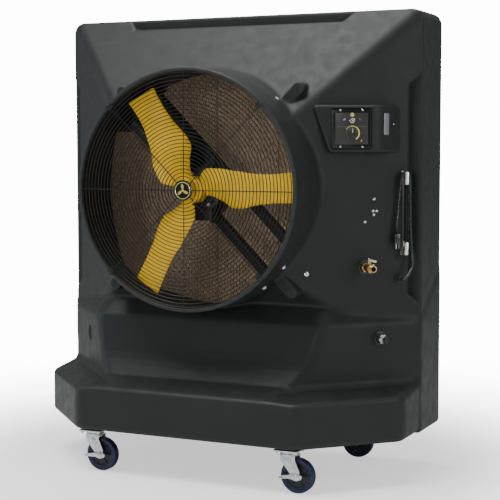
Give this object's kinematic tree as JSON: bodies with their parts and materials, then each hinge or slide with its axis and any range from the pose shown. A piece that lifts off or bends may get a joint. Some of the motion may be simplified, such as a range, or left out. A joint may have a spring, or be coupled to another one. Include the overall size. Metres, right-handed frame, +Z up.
{
  "type": "evaporative cooler",
  "caption": "Portable evaporative cooler: moulded cabinet with a round fan shroud, wire guard, yellow blades, wet media at the rear, sump base, control box and swivel casters.",
  "frame": {"origin": "on the floor, under the middle of the overall width and depth", "axes": "+Z up, -Y out of the fan front, +X to the right as seen from the front turned to look along +Y"},
  "size_m": [1.506, 0.74, 1.743],
  "materials": {
    "shell": "charcoal rotomoulded polyethylene, satin",
    "blades": "yellow glass-filled nylon, satin",
    "black_plastic": "black moulded plastic, satin",
    "black_metal": "black powder coat",
    "zinc": "bright zinc plate",
    "steel": "stainless, brushed",
    "brass": "plain brass",
    "navy_tread": "navy polyurethane tread",
    "wheel_core": "dark nylon core",
    "cooling_media": "brown corrugated cellulose",
    "cord": "black cord jacket",
    "pipe": "white pvc",
    "nickel": "bright nickel plate",
    "panel": "black gloss overlay",
    "float": "orange float"
  },
  "bodies": {
    "cabinet": {"housing": "shell", "fan_guard": "black_metal", "guard_badge": "black_plastic", "guard_clips": "black_metal", "motor_frame": "black_metal", "motor_plate": "black_metal", "fan_motor": "black_metal", "motor_frame_bolts": "zinc", "control_box": "shell", "switch_plate": "panel", "side_plate": "steel", "speed_controller": "black_plastic", "cord_hooks": "nickel", "body_screws": "zinc", "strain_relief": "black_plastic", "power_cord": "cord", "power_plug": "cord", "bulkhead_fittings": "black_plastic", "inlet_valve": "brass", "fill_pipe": "pipe", "float_valve": "brass", "drain_adapter": "brass", "media_pads": "cooling_media", "pad_tray": "steel", "riser_pipe": "pipe", "water_header": "pipe", "header_cover": "steel", "water_pump": "black_plastic", "rear_frame": "black_metal", "frame_screws": "zinc", "caster_plates": "zinc", "caster_bolts": "zinc"},
    "fan": {"motor_shaft": "steel", "fan_hub": "blades", "hub_screw": "zinc", "fan_blades": "blades"},
    "speed_dial": {"speed_knob": "black_plastic"},
    "pump_toggle": {"pump_switch": "nickel"},
    "inlet_handle": {"inlet_lever": "brass"},
    "float": {"float_arm": "brass", "float_ball": "float"},
    "drain_stopper": {"drain_plug": "nickel"},
    "caster_fl": {"fork_fl": "zinc", "axle_fl": "zinc"},
    "roller_fl": {"wheel_fl": "wheel_core", "tyre_fl": "navy_tread"},
    "pedal_fl": {"brake_fl": "zinc"},
    "caster_fr": {"fork_fr": "zinc", "axle_fr": "zinc"},
    "roller_fr": {"wheel_fr": "wheel_core", "tyre_fr": "navy_tread"},
    "pedal_fr": {"brake_fr": "zinc"},
    "caster_rl": {"fork_rl": "zinc", "axle_rl": "zinc"},
    "roller_rl": {"wheel_rl": "wheel_core", "tyre_rl": "navy_tread"},
    "caster_rr": {"fork_rr": "zinc", "axle_rr": "zinc"},
    "roller_rr": {"wheel_rr": "wheel_core", "tyre_rr": "navy_tread"}
  },
  "joints": [
    {"name": "fan_spin", "type": "hinge", "parent": "cabinet", "child": "fan", "pos_m": [0, -0.267, 1.077], "axis": [0, 1, 0], "continuous": true},
    {"name": "speed_turn", "type": "hinge", "parent": "cabinet", "child": "speed_dial", "pos_m": [0.55793, -0.09093, 1.284], "axis": [-0.4498, 0.8931, 0], "range_deg": [0, 270]},
    {"name": "pump_flick", "type": "hinge", "parent": "cabinet", "child": "pump_toggle", "pos_m": [0.55163, -0.07843, 1.329], "axis": [0.8931, 0.4498, 0], "range_deg": [-10, 10]},
    {"name": "inlet_turn", "type": "hinge", "parent": "cabinet", "child": "inlet_handle", "pos_m": [0.61514, -0.06076, 0.813], "axis": [0, 0, 1], "range_deg": [0, 90]},
    {"name": "float_swing", "type": "hinge", "parent": "cabinet", "child": "float", "pos_m": [0.5153, 0.02198, 0.366], "axis": [0, -1, 0], "range_deg": [-12, 20], "stiffness_Nm_per_rad": 2},
    {"name": "drain_pull", "type": "slide", "parent": "cabinet", "child": "drain_stopper", "axis": [0.7071, -0.7071, 0], "range_m": [0, 0.04]},
    {"name": "swivel_fl", "type": "hinge", "parent": "cabinet", "child": "caster_fl", "pos_m": [-0.406, -0.306, 0.14], "axis": [0, 0, 1], "continuous": true},
    {"name": "roll_fl", "type": "hinge", "parent": "caster_fl", "child": "roller_fl", "pos_m": [-0.372, -0.306, 0.0635], "axis": [0, 1, 0], "continuous": true},
    {"name": "brake_press_fl", "type": "hinge", "parent": "caster_fl", "child": "pedal_fl", "pos_m": [-0.372, -0.3375, 0.0635], "axis": [0, -1, 0], "range_deg": [-10, 10]},
    {"name": "swivel_fr", "type": "hinge", "parent": "cabinet", "child": "caster_fr", "pos_m": [0.406, -0.306, 0.14], "axis": [0, 0, 1], "continuous": true},
    {"name": "roll_fr", "type": "hinge", "parent": "caster_fr", "child": "roller_fr", "pos_m": [0.44, -0.306, 0.0635], "axis": [0, 1, 0], "continuous": true},
    {"name": "brake_press_fr", "type": "hinge", "parent": "caster_fr", "child": "pedal_fr", "pos_m": [0.44, -0.3375, 0.0635], "axis": [0, -1, 0], "range_deg": [-10, 10]},
    {"name": "swivel_rl", "type": "hinge", "parent": "cabinet", "child": "caster_rl", "pos_m": [-0.406, 0.306, 0.14], "axis": [0, 0, 1], "continuous": true},
    {"name": "roll_rl", "type": "hinge", "parent": "caster_rl", "child": "roller_rl", "pos_m": [-0.372, 0.306, 0.0635], "axis": [0, 1, 0], "continuous": true},
    {"name": "swivel_rr", "type": "hinge", "parent": "cabinet", "child": "caster_rr", "pos_m": [0.406, 0.306, 0.14], "axis": [0, 0, 1], "continuous": true},
    {"name": "roll_rr", "type": "hinge", "parent": "caster_rr", "child": "roller_rr", "pos_m": [0.44, 0.306, 0.0635], "axis": [0, 1, 0], "continuous": true}
  ]
}
